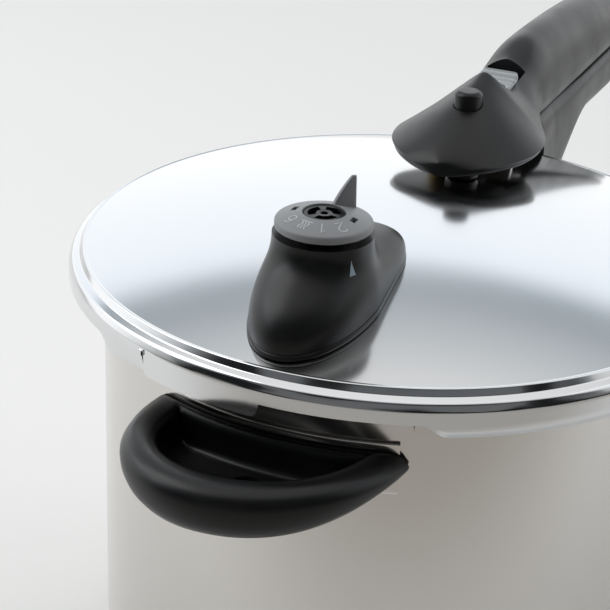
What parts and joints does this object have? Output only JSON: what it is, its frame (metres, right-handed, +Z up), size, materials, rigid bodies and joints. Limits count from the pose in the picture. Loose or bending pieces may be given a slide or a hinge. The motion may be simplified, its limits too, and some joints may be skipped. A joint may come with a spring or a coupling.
{
  "type": "stovetop pressure cooker",
  "caption": "Stovetop pressure cooker: steel pot and domed bayonet lid, selector valve dial, pressure indicator, safety valve, long locking handle and short helper handle.",
  "frame": {"origin": "centre of the flat underside of the base, on the pot's axis", "axes": "+Z up along the pot's axis, +X towards the long handle, +Y completes the right-handed frame"},
  "size_m": [0.4568, 0.248, 0.2255],
  "materials": {
    "polished_steel": "mirror-polished stainless steel",
    "brushed_steel": "brushed stainless steel",
    "aluminium": "plain aluminium",
    "brass": "turned brass",
    "spring_steel": "drawn spring wire",
    "black_phenolic": "satin moulded phenolic",
    "grey_plastic": "satin moulded grey plastic",
    "light_grey_plastic": "satin moulded light grey plastic",
    "silicone": "grey silicone rubber"
  },
  "bodies": {
    "pot": {"pot_body": "polished_steel", "base_core": "aluminium", "base_cap": "brushed_steel", "flame_guard": "polished_steel", "long_bracket": "brushed_steel", "body_handle": "black_phenolic", "body_handle_screw": "brushed_steel", "helper_bracket": "polished_steel", "helper_handle": "black_phenolic", "helper_screw": "brushed_steel"},
    "lid": {"lid_shell": "polished_steel", "gasket": "silicone", "housing_base": "black_phenolic", "valve_housing": "black_phenolic", "valve_body": "brass", "valve_seal": "silicone", "valve_nut": "brass", "valve_spring": "spring_steel", "indicator_seal": "silicone", "safety_body": "brass", "safety_nut": "brass", "safety_spring": "spring_steel", "lid_handle": "black_phenolic", "lid_bracket": "brushed_steel", "lid_handle_screw_left": "brushed_steel", "lid_handle_screw_right": "brushed_steel", "handle_spacer": "black_phenolic", "latch_spring": "spring_steel"},
    "selector": {"selector_dial": "grey_plastic", "dial_hub": "black_phenolic", "selector_cam": "aluminium"},
    "steam_plunger": {"valve_plunger": "brass"},
    "indicator": {"pressure_indicator": "black_phenolic"},
    "relief": {"safety_plunger": "brass"},
    "slide": {"slide_button": "light_grey_plastic"},
    "bolt": {"latch_bolt": "brushed_steel"}
  },
  "joints": [
    {"name": "lid_turn", "type": "hinge", "parent": "pot", "child": "lid", "pos_m": [0, 0, 0.1757], "axis": [0, 0, 1], "range_deg": [0, 30]},
    {"name": "selector_turn", "type": "hinge", "parent": "lid", "child": "selector", "pos_m": [-0.0775, 0, 0.2103], "axis": [0, 0, 1], "range_deg": [0, 97]},
    {"name": "steam_lift", "type": "slide", "parent": "lid", "child": "steam_plunger", "axis": [0, 0, 1], "range_m": [0, 0.0025], "stiffness_N_per_m": 400, "deforming": ["valve_spring"]},
    {"name": "indicator_rise", "type": "slide", "parent": "lid", "child": "indicator", "axis": [0, 0, 1], "range_m": [0, 0.004]},
    {"name": "relief_lift", "type": "slide", "parent": "lid", "child": "relief", "axis": [0, 0, 1], "range_m": [0, 0.0015], "stiffness_N_per_m": 800, "deforming": ["safety_spring"]},
    {"name": "slide_back", "type": "slide", "parent": "lid", "child": "slide", "axis": [1, 0, 0], "range_m": [0, 0.008], "stiffness_N_per_m": 300},
    {"name": "bolt_lift", "type": "slide", "parent": "lid", "child": "bolt", "axis": [0, 0, 1], "range_m": [0, 0.005], "deforming": ["latch_spring"]}
  ],
  "couplings": [
    {"joint": "bolt_lift", "follows": "slide_back", "ratio": 0.625}
  ]
}
